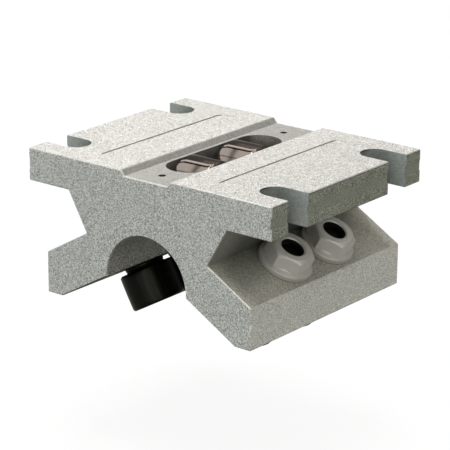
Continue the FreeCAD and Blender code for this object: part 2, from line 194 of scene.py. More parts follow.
# %% Light the world
OVERHEAD_LIGHT = (1.00, 0.985, 0.95, 1.0)
FRONT_LIGHT = (0.86, 0.90, 0.89, 1.0)
RIGHT_LIGHT = (0.90, 0.92, 0.84, 1.0)
LEFT_LIGHT = (0.42, 0.44, 0.43, 1.0)
BACKDROP = (1.0, 1.0, 1.0, 1.0)
LEFT_LIMITS = (-0.5, -0.9)
RIGHT_LIMITS = (0.1, 0.7)
OVERHEAD_LIMITS = (0.25, 0.85)
REAR_LIMITS = (0.3, 0.8)
REAR_LEFT_LIMITS = (0.2, -0.3)
METAL_SEES_BACKDROP = 0.12

world = bpy.data.worlds.new("studio")
bpy.context.scene.world = world
world.use_nodes = True
studio = Bench(world.node_tree)
direction = studio.node("ShaderNodeTexCoord", None, None, "Generated")
toward_x, toward_y, toward_z = studio.split(direction)
at_rear = studio.step(toward_y, *REAR_LIMITS) * studio.step(toward_x, *REAR_LEFT_LIMITS)
glow = studio.blend(studio.step(toward_x, *LEFT_LIMITS), FRONT_LIGHT, LEFT_LIGHT)
glow = studio.blend(studio.step(toward_x, *RIGHT_LIMITS), glow, RIGHT_LIGHT)
glow = studio.blend(at_rear, glow, OVERHEAD_LIGHT)
glow = studio.blend(studio.step(toward_z, *OVERHEAD_LIMITS), glow, OVERHEAD_LIGHT)
by_camera = studio.node("ShaderNodeLightPath", None, None, "Is Camera Ray")
by_gloss = studio.node("ShaderNodeLightPath", None, None, "Is Glossy Ray")
through_glass = studio.node("ShaderNodeLightPath", None, None, "Is Transmission Ray")
seen = studio.math("MAXIMUM", by_camera, (by_gloss + through_glass) * METAL_SEES_BACKDROP)
shown = studio.blend(seen, glow, BACKDROP)
print("world lit")

# %% [markdown]
# ## What the polished rollers mirror
#
# A polished roller shows the room as bands along its length: a lamp, the dark flags
# beside it, the edge of a table. Modelling those things would put them in the way of
# the light. Here they are bars of the world that glossy rays alone can see, so they draw
# the bands and change nothing else. A tilt is an angle about the X axis, which the top
# rollers turn about, so a bar at one tilt comes out as a line along the roller. One thin
# bar stands across them. Later bars cover earlier ones.

# %% Add the bars that gloss sees
BLACK = (0.0, 0.0, 0.0, 1.0)
BAR_EDGE = 0.01
STRIP_TILT = 0.51
STRIP_HALF = 0.062
STRIP_LIGHT = (1.35, 1.30, 1.28, 1.0)
FLAG_TILT = 0.31
FLAG_HALF = 0.07
FLAG_DEPTH = 0.95
SEAM_TILT = -0.45
SEAM_HALF = 0.045
SEAM_DEPTH = 0.55
CROSS_LEAN = -0.595
CROSS_HALF = 0.004
CROSS_EDGE = 0.004
CROSS_DEPTH = 0.80
CROSS_STOP = (FLAG_TILT, FLAG_TILT - 0.02)
STREAKS = ((0.66, 0.012), (0.79, 0.022), (0.93, 0.010))
STREAK_EDGE = 0.02
STREAK_STOP = (-0.600, -0.592)
STREAK_STRENGTH = 0.8
STREAK_LIGHT = (0.60, 0.50, 0.47, 1.0)
REAR_DARK_START = (STRIP_TILT, STRIP_TILT + 0.05)
REAR_DARK_END = (2.3, 2.2)
REAR_DARK_DEPTH = 0.88


def bar(signal, middle, half_width, edge=BAR_EDGE):
    """A band of directions about a middle value, with soft edges."""
    return studio.step(abs(signal - middle), half_width + edge, half_width)


tilt = studio.math("ARCTAN2", toward_y, toward_z)
rear_dark = studio.step(tilt, *REAR_DARK_START) * studio.step(tilt, *REAR_DARK_END)
streak_end = studio.step(toward_x, *STREAK_STOP)
cross = bar(toward_x, CROSS_LEAN, CROSS_HALF, CROSS_EDGE) * studio.step(tilt, *CROSS_STOP)
bars = [(rear_dark, REAR_DARK_DEPTH, BLACK)]
bars += [(bar(tilt, middle, half_width, STREAK_EDGE) * streak_end, STREAK_STRENGTH, STREAK_LIGHT)
         for middle, half_width in STREAKS]
bars += [(bar(tilt, SEAM_TILT, SEAM_HALF), SEAM_DEPTH, BLACK),
         (cross, CROSS_DEPTH, BLACK),
         (bar(tilt, FLAG_TILT, FLAG_HALF), FLAG_DEPTH, BLACK),
         (bar(tilt, STRIP_TILT, STRIP_HALF), 1.0, STRIP_LIGHT)]
for band, share, light in bars:
    shown = studio.blend(by_gloss * band * share, shown, light)
background = studio.node("ShaderNodeBackground", None, {"Color": shown})
studio.node("ShaderNodeOutputWorld", None, {"Surface": background})
print("bars in the world:", len(bars))

# %% Lay the floor
FLOOR_HEIGHT = -0.060
FLOOR_HALF_WIDTH = 3.0
FLOOR_SEEN = (0.85, 0.85, 0.85, 1.0)
FLOOR_BOUNCE = (0.20, 0.20, 0.185, 1.0)
FLOOR_GLOW = 0.88


def deselect_everything():
    """Operators act on all that is selected, so nothing may be left over."""
    for item in list(bpy.context.selected_objects):
        item.select_set(False)


deselect_everything()
bpy.ops.mesh.primitive_plane_add(size=2 * FLOOR_HALF_WIDTH, location=(0, 0, FLOOR_HEIGHT))
floor = bpy.context.object
floor.name = "studio_floor"
floor_material, bench, place = new_material("pale_floor")
seen = bench.node("ShaderNodeLightPath", None, None, "Is Camera Ray")
shade = bench.node("ShaderNodeBsdfDiffuse", None,
                   {"Color": bench.blend(seen, FLOOR_BOUNCE, FLOOR_SEEN)})
glow = bench.node("ShaderNodeEmission", None, {"Color": BACKDROP})
mixed = bench.node("ShaderNodeMixShader", None, {0: seen * FLOOR_GLOW, 1: shade, 2: glow})
bench.node("ShaderNodeOutputMaterial", None, {"Surface": mixed})
floor.data.materials.append(floor_material)
print("floor at", FLOOR_HEIGHT)

# %% Hang the lamp
LAMP_PLACE = Vector((-0.12, 0.02, 1.1))
LAMP_SIZE = 0.6
LAMP_POWER = 9.0

lamp_data = bpy.data.lights.new("overhead_softbox", "AREA")
lamp_data.shape = "SQUARE"
lamp_data.size = LAMP_SIZE
lamp_data.energy = LAMP_POWER
lamp = bpy.data.objects.new("overhead_softbox", lamp_data)
lamp.location = LAMP_PLACE
lamp.rotation_euler = LAMP_PLACE.to_track_quat("Z", "Y").to_euler()
bpy.context.scene.collection.objects.link(lamp)
print("lamp power", LAMP_POWER)

# %% [markdown]
# ## Turned pieces
#
# Rollers, studs, plates and needles are all turned on a lathe. Spinning a profile does
# that too, but a lathe hand works from station to station along the axis. So a ring
# of points is added at the first station, and each next station extrudes the last ring
# and scales it about the axis. A solid bar starts from a filled ring. A tube comes back
# to its first station, and the two rings are merged.

# %% Turn a profile
RING_POINTS = 96
MERGE_DISTANCE = 0.0005
SHARP_ANGLE = math.radians(28)


def turn_profile(name, stations, tube=False, points=RING_POINTS):
    """Turn stations, each a radius and a height in millimetres, about the Z axis."""
    deselect_everything()
    radius, height = stations[0]
    bpy.ops.mesh.primitive_circle_add(vertices=points, radius=radius * MM,
                                      fill_type="NOTHING" if tube else "NGON",
                                      location=(0, 0, height * MM))
    piece = bpy.context.object
    piece.name = name
    bpy.ops.object.transform_apply(location=True, rotation=True, scale=True)
    bpy.ops.object.mode_set(mode="EDIT")
    bpy.ops.mesh.select_all(action="SELECT")
    for next_radius, next_height in stations[1:] + ([stations[0]] if tube else []):
        rise = (next_height - height) * MM
        bpy.ops.mesh.extrude_region_move(TRANSFORM_OT_translate={"value": (0, 0, rise)})
        grow = next_radius / radius
        bpy.ops.transform.resize(value=(grow, grow, 1), center_override=(0, 0, 0))
        radius, height = next_radius, next_height
    bpy.ops.mesh.select_all(action="SELECT")
    bpy.ops.mesh.remove_doubles(threshold=MERGE_DISTANCE * MM)
    bpy.ops.mesh.normals_make_consistent(inside=False)
    bpy.ops.object.mode_set(mode="OBJECT")
    return piece


def apply_modifier(piece, kind, **settings):
    """Add a modifier, set it, and apply it."""
    deselect_everything()
    piece.select_set(True)
    bpy.context.view_layer.objects.active = piece
    bpy.ops.object.modifier_add(type=kind)
    modifier = piece.modifiers[-1]
    for name, value in settings.items():
        setattr(modifier, name, value)
    bpy.ops.object.modifier_apply(modifier=modifier.name)


def round_edges(piece, width, steps=3):
    """Round every sharp edge by a width in millimetres."""
    apply_modifier(piece, "BEVEL", width=width * MM, segments=steps,
                   limit_method="ANGLE", angle_limit=SHARP_ANGLE)


def cut_with(piece, tool, operation):
    """Join, cut or intersect a piece with a tool, and remove the tool."""
    apply_modifier(piece, "BOOLEAN", object=tool, operation=operation, solver="EXACT")
    bpy.data.objects.remove(tool)


def join_pieces(name, pieces):
    """Make several meshes one."""
    deselect_everything()
    for piece in pieces:
        piece.select_set(True)
    bpy.context.view_layer.objects.active = pieces[0]
    bpy.ops.object.join()
    pieces[0].name = name
    return pieces[0]


print("lathe ready")

# %% [markdown]
# ## Threads
#
# A thread is a ridge wound round a core. The Screw modifier winds an outline and lifts
# it by one pitch a turn, which is just how a die cuts it. The outline is a diamond: its
# inner half is buried in the core, so that only a clean V stands out. A nut's thread
# is the same ridge with its outer half buried in the bore.

# %% Wind a ridge
THREAD_STEPS = 40
RIDGE_HALF_HEIGHT = 0.48


def wind_thread(name, radius, depth, pitch, start, turns, steps=THREAD_STEPS):
    """A closed ridge on a cylinder's surface, in millimetres, rising from start."""
    deselect_everything()
    bpy.ops.mesh.primitive_circle_add(vertices=4, radius=MM, fill_type="NOTHING",
                                      location=(radius * MM, 0, start * MM),
                                      rotation=(math.pi / 2, 0, 0))
    ridge = bpy.context.object
    ridge.name = name
    ridge.scale = (depth, RIDGE_HALF_HEIGHT * pitch, 1.0)
    bpy.ops.object.transform_apply(location=True, rotation=True, scale=True)
    apply_modifier(ridge, "SCREW", screw_offset=pitch * MM, iterations=turns,
                   steps=steps, render_steps=steps, use_normal_calculate=True)
    bpy.ops.object.mode_set(mode="EDIT")
    bpy.ops.mesh.select_all(action="SELECT")
    bpy.ops.mesh.fill_holes(sides=4)
    bpy.ops.mesh.select_all(action="SELECT")
    bpy.ops.mesh.normals_make_consistent(inside=False)
    bpy.ops.object.mode_set(mode="OBJECT")
    return ridge


print("screw ready")

# %% [markdown]
# ## Finishing and placing a piece
#
# A master piece is made once, upright on the Z axis. Before it is copied, each point
# keeps its place on that axis as an attribute. A material that reads it can draw
# grinding rings round a leaning roller just as round an upright one. A copy is then
# leaned and moved, and its place goes into its mesh, as with the CAD parts.

# %% Finish a master
LEAN = math.radians(30)
HALF_PITCH = 11.4
SIDE_REACH = 25.4
TOP_HEIGHT = 26.175
SIDES = {"left": -1, "right": 1}
ENDS = {"front": -1, "back": 1}
SMOOTH_BELOW = math.radians(30)


def finish_master(piece, material):
    """Smooth it, keep each point's own place, and give it its finish."""
    deselect_everything()
    piece.select_set(True)
    bpy.context.view_layer.objects.active = piece
    bpy.ops.object.shade_smooth_by_angle(angle=SMOOTH_BELOW)
    own = piece.data.attributes.new("own_place", "FLOAT_VECTOR", "POINT")
    own.data.foreach_set("vector", [part for point in piece.data.vertices
                                    for part in point.co])
    piece.data.materials.clear()
    piece.data.materials.append(material)
    print(piece.name, "has", len(piece.data.polygons), "faces")
    return piece


def copy_to(master, name, lean, middle, body, nodes):
    """Copy a master, lean it about Y, move it, and let it ride on its body."""
    copy = master.copy()
    copy.data = master.data.copy()
    copy.name = name
    bpy.context.scene.collection.objects.link(copy)
    spot = Matrix.Translation(Vector(middle) * MM) @ Matrix.Rotation(lean, 4, "Y")
    copy.data.transform(spot)
    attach(copy, body)
    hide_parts(*nodes)
    return copy


def side_middle(side, end):
    """The middle of a lower roller, in millimetres."""
    return (SIDES[side] * SIDE_REACH * math.cos(LEAN), ENDS[end] * HALF_PITCH,
            -SIDE_REACH * math.sin(LEAN))


print("front right roller sits at", [round(value, 2) for value in side_middle("right", "front")])

# %% [markdown]
# ## Steel finishes
#
# Four steels show. The lower rollers and studs are black oxide: almost no colour, a soft
# gloss, fine rings left by the grinder and faint streaks along the face. The top rollers
# are bare and polished, a warm grey. The nuts are zinc plated: pale, a little mottled and
# dull, because plating scatters light more like paint than like bare metal. The needles,
# axles and washers are plain bright steel. All four share one recipe. A painted zone is a
# ring of the piece where shade or light is painted into the colour: painted shade in a
# nut's bore, on its top chamfer and on its flange, painted light on its top face, and a
# painted highlight on one end's outer corner of a top roller. It is given by its inner
# and outer radius, the slope of its limits, its lowest and highest level, and how much
# darker it is, where less than nothing means lighter.

# %% Steel that was turned or ground
RING_GRAIN = (40.0, 40.0, 0.16)
STREAK_GRAIN = (0.45, 0.45, 60.0)
MOTTLE_GRAIN = (1.6, 1.6, 1.6)
ZONE_EDGE = 0.05
ROUGHNESS_CHANGE = 0.3


def steel(name, colour, roughness, ring_depth, mottling, streaks=0.0, metallic=1.0, painted_zones=()):
    """A metal with rings round its own axis, streaks along it, a faint mottling, and rings of
    painted shade and painted light.
    """
    material, bench, place = new_material(name)
    own = bench.node("ShaderNodeAttribute", {"attribute_name": "own_place"}, None, "Vector")
    rings = bench.grains(own, RING_GRAIN)
    cloud = bench.grains(place, MOTTLE_GRAIN, detail=4.0)
    lift = 1.0 + (cloud - 0.5) * mottling + (rings - 0.5) * (0.5 * mottling)
    if streaks:
        along = bench.grains(own, STREAK_GRAIN, detail=3.0)
        lift = lift + (along - 0.5) * streaks
    own_x, own_y, own_z = bench.split(own)
    radius = bench.math("SQRT", own_x * own_x + own_y * own_y)

    def past(signal, limit, way):
        """A mask that starts at a limit in millimetres and shows above or below it."""
        return bench.step(signal, (limit - way * ZONE_EDGE) * MM, (limit + way * ZONE_EDGE) * MM)

    # Each painted zone makes the colour darker by its darkness: painted shade, or painted light
    # where the darkness is below nothing.
    for inner, outer, slope, low, high, painted_darkness in painted_zones:
        level = own_z + radius * slope
        inside = (past(radius, inner, 1) * past(radius, outer, -1)
                  * past(level, low, 1) * past(level, high, -1))
        lift = lift * (1.0 - inside * painted_darkness)
    tone_and_painted_light = bench.node("ShaderNodeVectorMath", {"operation": "SCALE"},
                      {"Vector": colour, "Scale": lift})
    change = 1.0 + (rings - 0.5) * ROUGHNESS_CHANGE + (cloud - 0.5) * ROUGHNESS_CHANGE
    varying = {"Base Color": tone_and_painted_light, "Roughness": roughness * change}
    if ring_depth:
        varying["Normal"] = bench.node(
            "ShaderNodeBump", None,
            {"Strength": 0.5, "Distance": ring_depth * MM, "Height": rings})
    metal_surface(bench, varying, {"Metallic": metallic})
    return material


# A painted highlight on the outer corner of one end of each top roller.
ROLLER_CORNER_PAINTED_HIGHLIGHT = (9.5, 12.0, 0.0, -7.0, -6.05, -0.9)
# Painted shade that turns a nut's bore and its thread nearly black.
NUT_BORE_PAINTED_SHADE = (-1.0, 4.90, 0.0, -1.0, 6.65, 0.96)
# Painted shade on the cone that cuts a nut's top corners.
NUT_CHAMFER_PAINTED_SHADE = (6.6, 12.0, 0.6, 11.0, 30.0, 0.06)
# Painted shade on a nut's flange.
NUT_FLANGE_PAINTED_SHADE = (7.3, 12.0, 0.0, -1.0, 2.3, 0.18)
# Painted light on a nut's top face round the bore.
NUT_FACE_PAINTED_LIGHT = (4.8, 6.6, 0.0, 6.7, 30.0, -0.18)
black_oxide = steel("black_oxide", (0.022, 0.022, 0.018), roughness=0.30, ring_depth=0.004,
                    mottling=0.5, streaks=2.2)
polished_steel = steel("polished_steel", (0.36, 0.31, 0.28), roughness=0.06, ring_depth=0.0,
                       mottling=0.12, painted_zones=(ROLLER_CORNER_PAINTED_HIGHLIGHT,))
zinc_plate = steel("zinc_plate", (0.66, 0.64, 0.60), roughness=0.42, ring_depth=0.004,
                   mottling=0.22, metallic=0.5,
                   painted_zones=(NUT_BORE_PAINTED_SHADE, NUT_CHAMFER_PAINTED_SHADE, NUT_FLANGE_PAINTED_SHADE, NUT_FACE_PAINTED_LIGHT))
needle_steel = steel("needle_steel", (0.55, 0.54, 0.52), roughness=0.18, ring_depth=0.001,
                     mottling=0.05)
print("steels:", black_oxide.name, polished_steel.name, zinc_plate.name, needle_steel.name)

# %% [markdown]
# ## Rollers
#
# Each roller is the thick outer ring of a cam follower. Its face isn't quite straight:
# it is crowned by less than a tenth of a millimetre, so that it carries in its middle.
# The crown is turned with nine stations on an arc. The corners of the face are
# chamfered, and the ends have a shallow step where the shield sits.

# %% Turn the rollers
CROWN_RADIUS = 250.0
CROWN_STATIONS = 9
ROLLER_CORNER = 0.6
BORE_RADIUS = 7.2025
STEP_WIDTH = 0.55
STEP_DEPTH = 0.15
STEP_SLOPE = 0.08
SIDE_ROLLER_SIZE = (9.525, 6.35)
TOP_ROLLER_SIZE = (10.3, 6.6)


def crown_stations(outer_radius, half_width):
    """Stations along the crowned face, from the lower to the upper corner."""
    reach = half_width - ROLLER_CORNER
    heights = [reach * (2 * number / (CROWN_STATIONS - 1) - 1)
               for number in range(CROWN_STATIONS)]
    return [(outer_radius - height ** 2 / (2 * CROWN_RADIUS), height) for height in heights]


def turn_roller(name, outer_radius, half_width, material):
    """A roller ring: bore, stepped ends, chamfered corners and crowned face."""
    face = crown_stations(outer_radius, half_width)
    corner_radius = face[0][0] - ROLLER_CORNER
    step_radius = corner_radius - STEP_WIDTH
    half_section = [(corner_radius, half_width), (step_radius, half_width),
                    (step_radius - STEP_SLOPE, half_width - STEP_DEPTH),
                    (BORE_RADIUS, half_width - STEP_DEPTH)]
    lower_section = [(radius, -height) for radius, height in reversed(half_section)]
    ring = turn_profile(name, lower_section + face + half_section, tube=True)
    round_edges(ring, width=0.10, steps=2)
    return finish_master(ring, material)


side_roller = turn_roller("side_roller", *SIDE_ROLLER_SIZE, black_oxide)
top_roller = turn_roller("top_roller", *TOP_ROLLER_SIZE, polished_steel)

# %% Place the rollers
ON_ITS_SIDE = math.pi / 2

rings = []
for side in SIDES:
    for end in ENDS:
        rings.append(copy_to(side_roller, f"ring_{side}_{end}", SIDES[side] * LEAN,
                             side_middle(side, end), f"ring_{side}_{end}",
                             [f"roller_{side}_{end}"]))
for end in ENDS:
    rings.append(copy_to(top_roller, f"ring_top_{end}", ON_ITS_SIDE,
                         (0, ENDS[end] * HALF_PITCH, TOP_HEIGHT), f"ring_top_{end}",
                         [f"top_roller_{end}"]))
bpy.data.objects.remove(side_roller)
bpy.data.objects.remove(top_roller)
print("rollers:", len(rings))

# %% [markdown]
# ## Needles
#
# Between each ring and its pin runs a full set of needles. They barely show, at the
# ends of the rollers, but they are what the roller turns on. One needle is turned with
# domed ends and few faces, then copied round the pin.

# %% Turn and set the needles
NEEDLE_RADIUS = 1.19
NEEDLE_HALF_LENGTH = 4.4
NEEDLE_COUNT = 15
NEEDLE_RING_RADIUS = 5.9825
NEEDLE_POINTS = 14

half_needle = [(NEEDLE_RADIUS, 3.95), (1.02, 4.22), (0.62, NEEDLE_HALF_LENGTH)]
needle = turn_profile("needle", [(radius, -height) for radius, height in
                                 reversed(half_needle)] + half_needle, points=NEEDLE_POINTS)
copies = []
for number in range(NEEDLE_COUNT):
    angle = 2 * math.pi * number / NEEDLE_COUNT
    copy = needle.copy()
    copy.data = needle.data.copy()
    bpy.context.scene.collection.objects.link(copy)
    copy.data.transform(Matrix.Translation(Vector((math.cos(angle), math.sin(angle), 0))
                                           * NEEDLE_RING_RADIUS * MM))
    copies.append(copy)
bpy.data.objects.remove(needle)
needle_set = finish_master(join_pieces("needle_set", copies), needle_steel)

# %% [markdown]
# ## Studs and end plates
#
# A stud's head holds the ring on. It has a hexagon socket, and its other end carries
# the thread for the nut. The end plate closes the ring and rests on the block's wing.
# The black band between roller and wing in the photograph is this plate.

# %% Turn the stud
PIN_RADIUS = 4.7625
HEAD_RADIUS = 6.9
HEAD_FACE = -6.05
HEAD_SHOULDER = -4.45
THREAD_START = 19.4
STUD_TIP = 28.55
THREAD_PITCH = 1.058
THREAD_DEPTH = 0.62
SOCKET_FLATS = 4.76
SOCKET_DEPTH = 4.5
HEAD_CHAMFER = 0.35
TIP_CHAMFER = 0.5
SHANK_STOP = 1.0
UNDERCUT_START = 0.4
THREAD_INSET = 0.02
THREAD_LEAD = 0.3
TIP_CLEARANCE = 0.7

core_radius = PIN_RADIUS - THREAD_DEPTH - THREAD_INSET
stud = turn_profile("stud", [
    (HEAD_RADIUS - HEAD_CHAMFER, HEAD_FACE), (HEAD_RADIUS, HEAD_FACE + HEAD_CHAMFER),
    (HEAD_RADIUS, HEAD_SHOULDER), (PIN_RADIUS, HEAD_SHOULDER),
    (PIN_RADIUS, THREAD_START - SHANK_STOP), (core_radius, THREAD_START - UNDERCUT_START),
    (core_radius, STUD_TIP - TIP_CHAMFER), (core_radius - TIP_CHAMFER, STUD_TIP),
])
deselect_everything()
bpy.ops.mesh.primitive_cylinder_add(
    vertices=6, radius=SOCKET_FLATS / math.sqrt(3) * MM, depth=2 * SOCKET_DEPTH * MM,
    location=(0, 0, HEAD_FACE * MM))
socket_tool = bpy.context.object
bpy.ops.object.transform_apply(location=True, rotation=True, scale=True)
cut_with(stud, socket_tool, "DIFFERENCE")
round_edges(stud, width=0.08, steps=2)
stud_turns = int((STUD_TIP - THREAD_START - TIP_CLEARANCE) / THREAD_PITCH)
stud_thread = wind_thread("stud_thread", core_radius, THREAD_DEPTH, THREAD_PITCH,
                          THREAD_START + THREAD_LEAD, stud_turns)
stud = finish_master(join_pieces("stud", [stud, stud_thread]), black_oxide)

# %% Turn the end plate
PLATE_BORE = 4.80
WING_FACE = 8.04
plate = turn_profile("end_plate", [
    (PLATE_BORE, 4.85), (6.2, 4.85), (6.55, 5.2), (HEAD_RADIUS, 5.35), (HEAD_RADIUS, 6.5),
    (HEAD_RADIUS - 0.25, 6.7), (HEAD_RADIUS - 0.25, 6.95), (HEAD_RADIUS, 7.15),
    (HEAD_RADIUS, WING_FACE), (PLATE_BORE, WING_FACE),
], tube=True)
round_edges(plate, width=0.08, steps=2)
plate = finish_master(plate, black_oxide)

# %% [markdown]
# ## Flange nuts
#
# The nuts are what the eye goes to under the flange. A real one is forged: a hexagon on
# a plain round flange with a straight rim. Its top corners are cut away by a cone, which
# leaves a curved edge on each flat, and a thin lip inside the bore grips the thread. The
# hexagon is cut with such a cone, joined to the turned flange, bored, and then every
# edge is rounded a little.

# %% Shape the nut
NUT_FLATS = 14.2
NUT_HEIGHT = 7.1
NUT_TURN = math.radians(34.4)
FLANGE_RADIUS = 9.4
NUT_BORE = 4.83
LIP_RADIUS = 4.05
LIP_START = 5.05
NUT_SEAT = 23.64
HEXAGON_START = math.radians(30)
NUT_CONE_RADIUS = 12.0
NUT_CONE_SLOPE = 0.6
NUT_CORNER_CUT = 0.55
NUT_THREAD_START = 0.55
NUT_THREAD_DEPTH = 0.56

deselect_everything()
bpy.ops.mesh.primitive_cylinder_add(
    vertices=6, radius=NUT_FLATS / math.sqrt(3) * MM, depth=NUT_HEIGHT * MM,
    location=(0, 0, NUT_HEIGHT / 2 * MM), rotation=(0, 0, NUT_TURN - HEXAGON_START))
nut = bpy.context.object
nut.name = "nut"
bpy.ops.object.transform_apply(location=True, rotation=True, scale=True)
top_radius = NUT_FLATS / 2 - NUT_CORNER_CUT
cone_start = NUT_HEIGHT - (NUT_CONE_RADIUS - top_radius) * NUT_CONE_SLOPE
cone = turn_profile("nut_cone", [(NUT_CONE_RADIUS, -1.0), (NUT_CONE_RADIUS, cone_start),
                                 (top_radius, NUT_HEIGHT)])
cut_with(nut, cone, "INTERSECT")
flange = turn_profile("nut_flange", [
    (FLANGE_RADIUS - 0.15, 0.0), (FLANGE_RADIUS, 0.15), (FLANGE_RADIUS, 1.60),
    (FLANGE_RADIUS - 0.22, 1.82), (8.3, 1.95), (7.6, 2.1), (7.2, 2.4), (6.95, 2.9)])
cut_with(nut, flange, "UNION")
bore = turn_profile("nut_bore", [
    (NUT_BORE + 0.6, -0.6), (NUT_BORE, 0.3), (NUT_BORE, LIP_START), (LIP_RADIUS, LIP_START + 0.3),
    (LIP_RADIUS, NUT_HEIGHT - 0.35), (LIP_RADIUS + 0.7, NUT_HEIGHT + 0.35)])
cut_with(nut, bore, "DIFFERENCE")
round_edges(nut, width=0.12, steps=2)
nut_turns = int((LIP_START - 1.0) / THREAD_PITCH)
nut_thread = wind_thread("nut_thread", NUT_BORE, NUT_THREAD_DEPTH, THREAD_PITCH,
                         NUT_THREAD_START + THREAD_PITCH / 2, nut_turns)
nut = finish_master(join_pieces("nut", [nut, nut_thread]), zinc_plate)

# %% Place the lower units
for side in SIDES:
    for end in ENDS:
        middle, lean = side_middle(side, end), SIDES[side] * LEAN
        seat = Vector(middle) + Vector((math.sin(lean), 0, math.cos(lean))) * NUT_SEAT
        copy_to(stud, f"stud_{side}_{end}", lean, middle, "block", ["studs"])
        copy_to(plate, f"end_plate_{side}_{end}", lean, middle, "block", ["studs"])
        copy_to(needle_set, f"needles_{side}_{end}", lean, middle, "block",
                ["studs"])
        copy_to(nut, f"nut_{side}_{end}", lean, seat, "block", ["nuts"])
for master in (stud, plate, nut):
    bpy.data.objects.remove(master)
print("lower units placed")

# %% [markdown]
# ## Top axles
#
# The two top rollers turn on plain pins that lie in seats cut from the arch. A thin
# washer on each side keeps the roller off the walls of its window.

# %% Turn and place axles and washers
AXLE_HALF_LENGTH = 13.5
AXLE_CHAMFER = 0.6
WASHER_RADIUS = 7.1
WASHER_INNER_FACE = 6.66
WASHER_OUTER_FACE = 7.76

half_axle = [(PIN_RADIUS, AXLE_HALF_LENGTH - AXLE_CHAMFER),
             (PIN_RADIUS - AXLE_CHAMFER, AXLE_HALF_LENGTH)]
axle = turn_profile("top_axle", [(radius, -height) for radius, height in
                                 reversed(half_axle)] + half_axle)
round_edges(axle, width=0.1, steps=2)
axle = finish_master(axle, needle_steel)
washer = turn_profile("top_washer", [
    (PLATE_BORE, WASHER_INNER_FACE), (WASHER_RADIUS, WASHER_INNER_FACE),
    (WASHER_RADIUS, WASHER_OUTER_FACE), (PLATE_BORE, WASHER_OUTER_FACE)], tube=True)
round_edges(washer, width=0.12, steps=2)
washer = finish_master(washer, needle_steel)
for end in ENDS:
    middle = (0, ENDS[end] * HALF_PITCH, TOP_HEIGHT)
    copy_to(axle, f"axle_{end}", ON_ITS_SIDE, middle, "block", ["top_axles"])
    copy_to(needle_set, f"needles_top_{end}", ON_ITS_SIDE, middle, "block",
            ["top_axles"])
    for side in SIDES:
        copy_to(washer, f"washer_{side}_{end}", SIDES[side] * ON_ITS_SIDE, middle, "block",
                ["top_axles"])
for master in (axle, washer, needle_set):
    bpy.data.objects.remove(master)
print("top units placed")

# %% [markdown]
# ## Where a point of the block lies
#
# The block is one solid, but its faces were made in different ways. The bar came out of
# an extrusion die, its ends and its top were milled, and its slots and window were cut
# last. One material covers all of it, so it first works out which face a point lies on,
# both for each face's own marks and for the painted shade and painted light that single
# faces get.
# A mask is a number from 0 to 1, made from the point's place and from the way its
# surface faces. Each measure of a mask has two limits: where it starts to show, and
# where it shows in full. Places are in millimetres. Facings are parts of the surface's
# direction, where 1 looks straight along an axis.

# %% Measure a point of the block
SEAL_HOLE_PLACE = 32.45

alloy, bench, place = new_material("milled_alloy")
facing = bench.node("ShaderNodeTexCoord", None, None, "Normal")
at_x, at_y, at_z = bench.split(place)
to_x, to_y, to_z = bench.split(facing)
far_x, far_y = abs(at_x), abs(at_y)
measures = {
    "at_x": (at_x, MM),
    "far_x": (far_x, MM),
    "far_y": (far_y, MM),
    "height": (at_z, MM),
    "from_shaft": (bench.math("SQRT", at_x * at_x + at_z * at_z), MM),
    "from_hole": (abs(far_y - SEAL_HOLE_PLACE * MM), MM),
    "facing_x": (abs(to_x), 1.0),
    "facing_y": (abs(to_y), 1.0),
    "facing_z": (abs(to_z), 1.0),
    "facing_up": (to_z, 1.0),
}


def mask(**limits):
    """Multiply one soft step for each named measure."""
    product = 1.0
    for name, (start, full) in limits.items():
        signal, unit = measures[name]
        product = bench.step(signal, start * unit, full * unit) * product
    return product


def without(face, *others):
    """Take other faces out of a mask."""
    for other in others:
        face = face * (1.0 - other)
    return face


print("measures:", ", ".join(measures))

# %% Mark the block's faces
faces = {
    "end": mask(facing_y=(0.90, 0.98), far_y=(40.0, 40.5)),
    "top": mask(facing_up=(0.90, 0.98), height=(34.0, 35.0)),
    "side": mask(facing_x=(0.85, 0.95), far_x=(50.2, 50.25)),
    "groove": mask(facing_up=(0.5, 0.7), far_x=(50.2, 50.25), height=(33.9, 33.8)),
    "wing": mask(facing_up=(0.6, 0.8), far_x=(18.0, 19.0), height=(26.0, 25.9)),
    "window": mask(facing_z=(0.3, 0.2), far_x=(8.0, 7.9), far_y=(26.6, 26.5),
                   height=(12.0, 13.0)),
    "hole": mask(from_hole=(1.5, 1.4), far_x=(1.5, 1.4), height=(35.45, 35.40)),
    "rim": mask(facing_up=(0.9, 0.5), facing_y=(0.75, 0.25), far_x=(12.0, 12.5),
                far_y=(40.3, 40.2), height=(36.75, 36.8)),
}
flange_tip = mask(facing_x=(0.90, 0.98), far_x=(49.0, 49.5))
faces["slot"] = without(mask(facing_z=(0.4, 0.3), far_x=(36.6, 36.7), far_y=(40.2, 39.5),
                             height=(25.9, 26.0)), faces["top"], flange_tip)
faces["wing_side"] = without(mask(facing_z=(0.4, 0.3), far_x=(40.0, 41.0),
                                  height=(20.0, 19.0)), faces["end"])
faces["arch"] = without(mask(from_shaft=(17.2, 16.9)), faces["end"], faces["window"])
faces["waist"] = without(mask(facing_up=(-0.2, -0.4), far_x=(15.0, 16.0)), faces["arch"])
faces["channel"] = faces["top"] * mask(height=(36.6, 36.4))
faces["channel_wall"] = without(mask(facing_up=(0.2, 0.3), far_x=(20.0, 19.0),
                                     height=(34.0, 34.5)), faces["top"])
print("faces marked:", ", ".join(faces))

